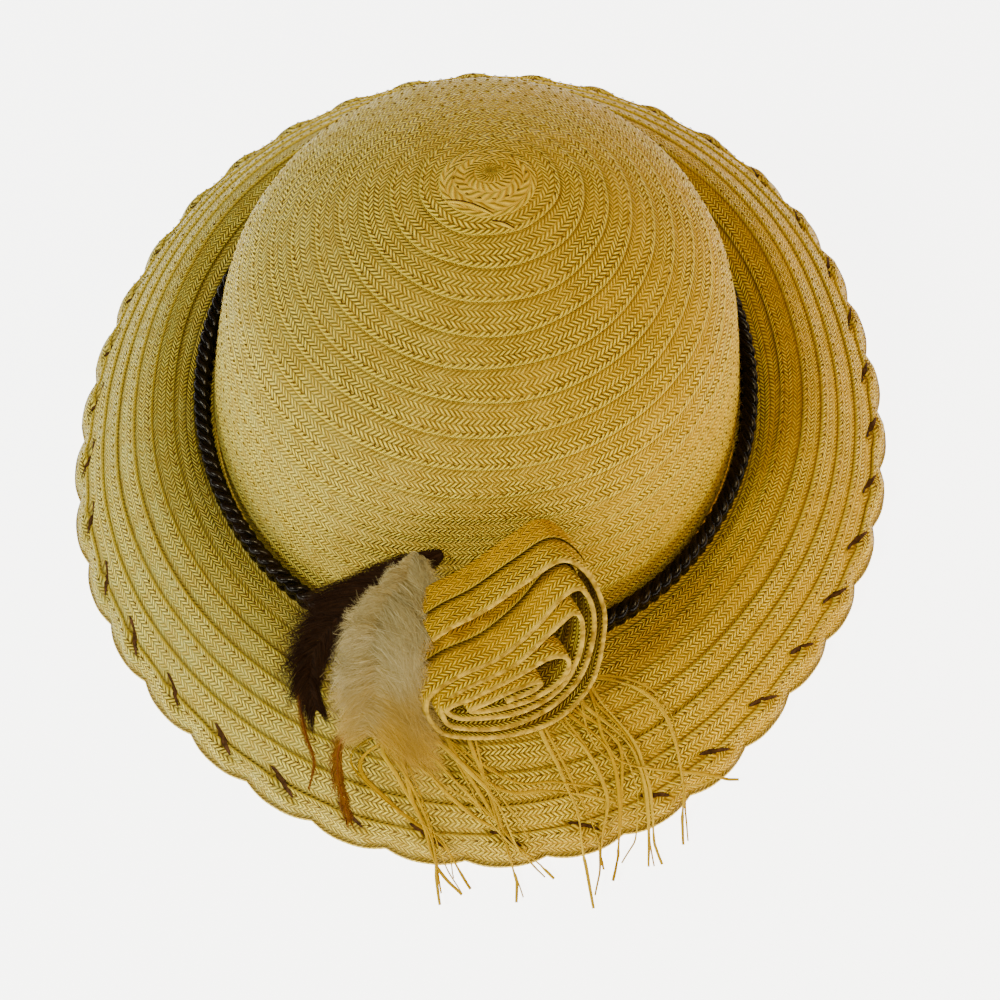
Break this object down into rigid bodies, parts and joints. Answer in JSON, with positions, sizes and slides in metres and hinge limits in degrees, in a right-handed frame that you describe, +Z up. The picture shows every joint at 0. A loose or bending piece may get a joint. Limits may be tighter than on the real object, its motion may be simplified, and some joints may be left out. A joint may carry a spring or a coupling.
{
  "type": "cloche hat",
  "caption": "Sewn straw cloche hat with a tall rounded crown, turned-down scalloped brim, braided leather band, rolled straw rosette, feathers and a raffia fringe",
  "frame": {"origin": "on the floor, under the middle of the bounding box", "axes": "+Z up out of the crown, -Y towards the front where the rosette sits, +X to the right of the rosette as it is looked at"},
  "size_m": [0.2932, 0.334, 0.1266],
  "materials": {
    "straw_crown": "sewn straw braid, slight sheen",
    "straw_brim": "sewn straw braid, slight sheen",
    "straw_rosette": "rolled straw braid, slight sheen",
    "band_leather": "braided and glossy",
    "raffia": "dry raffia strands",
    "feather_dark": "soft feather",
    "feather_cream": "fluffy feather",
    "feather_brown": "soft feather"
  },
  "bodies": {
    "root": {"crown": "straw_crown", "brim": "straw_brim", "hat_band": "band_leather", "rosette": "straw_rosette", "raffia_fringe": "raffia", "dark_feather": "feather_dark", "cream_feather": "feather_cream", "hackle_feather": "feather_brown"}
  },
  "joints": []
}
